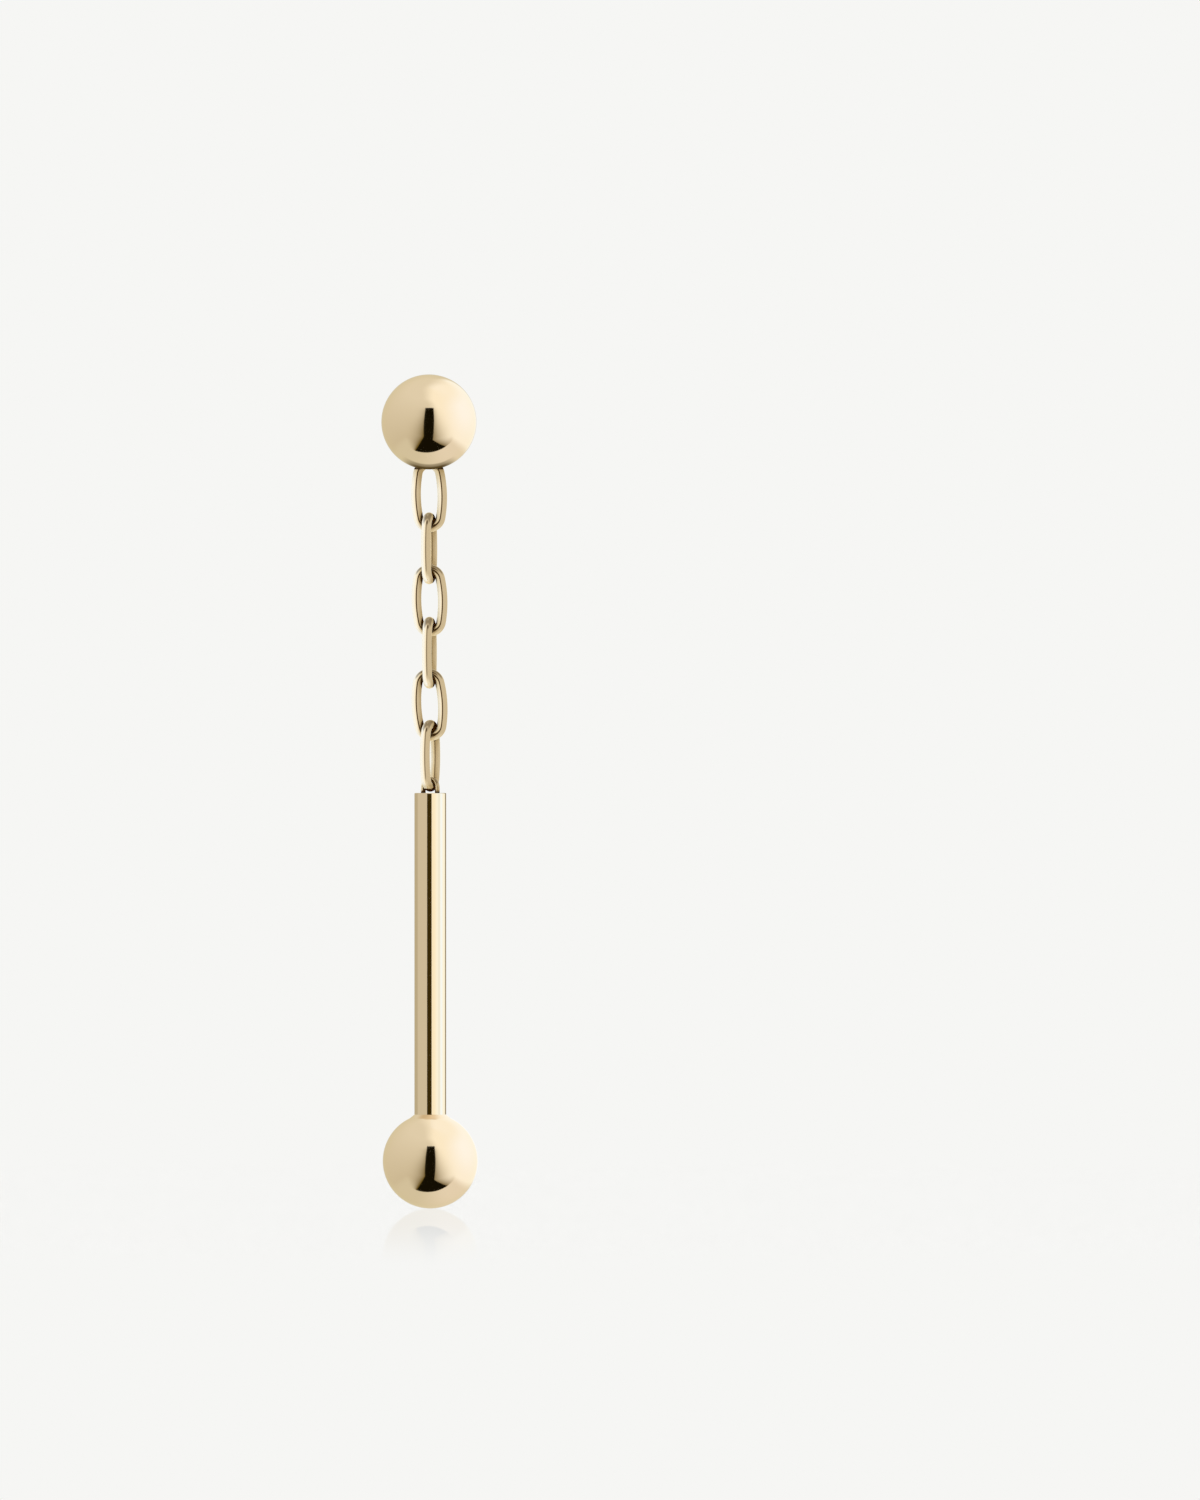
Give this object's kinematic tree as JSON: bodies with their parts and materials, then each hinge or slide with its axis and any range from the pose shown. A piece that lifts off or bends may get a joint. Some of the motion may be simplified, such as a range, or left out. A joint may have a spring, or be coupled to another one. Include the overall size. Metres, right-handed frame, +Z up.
{
  "type": "bar earring",
  "caption": "Drop earring: a ball stud on a straight post, a short cable chain, and a round bar that hangs from it with a ball at its foot.",
  "frame": {"origin": "the back of the stud's ball, on the post's axis, where the ball's back meets the front of the ear lobe", "axes": "+Z up, along the hanging chain and bar; +Y backwards through the lobe, along the post; the front of the earring faces -Y; +X to the right as seen from the front"},
  "size_m": [0.0061, 0.016, 0.0526],
  "materials": {
    "polished_gold": "mirror polished pale gold plate",
    "chain_gold": "bright pale gold plate on drawn wire",
    "post_gold": "plain bright pale gold plate on drawn wire"
  },
  "bodies": {
    "stud": {"stud_ball": "polished_gold", "ear_post": "post_gold", "chain_link_1": "chain_gold", "chain_link_2": "chain_gold", "chain_link_3": "chain_gold", "chain_link_4": "chain_gold", "chain_link_5": "chain_gold"},
    "drop": {"bar": "polished_gold", "end_ball": "polished_gold"}
  },
  "joints": [
    {"name": "drop_swing", "type": "hinge", "parent": "stud", "child": "drop", "pos_m": [0.00009, -0.003, -0.02303], "axis": [0.3907, 0.9205, 0], "range_deg": [-75, 75]}
  ]
}
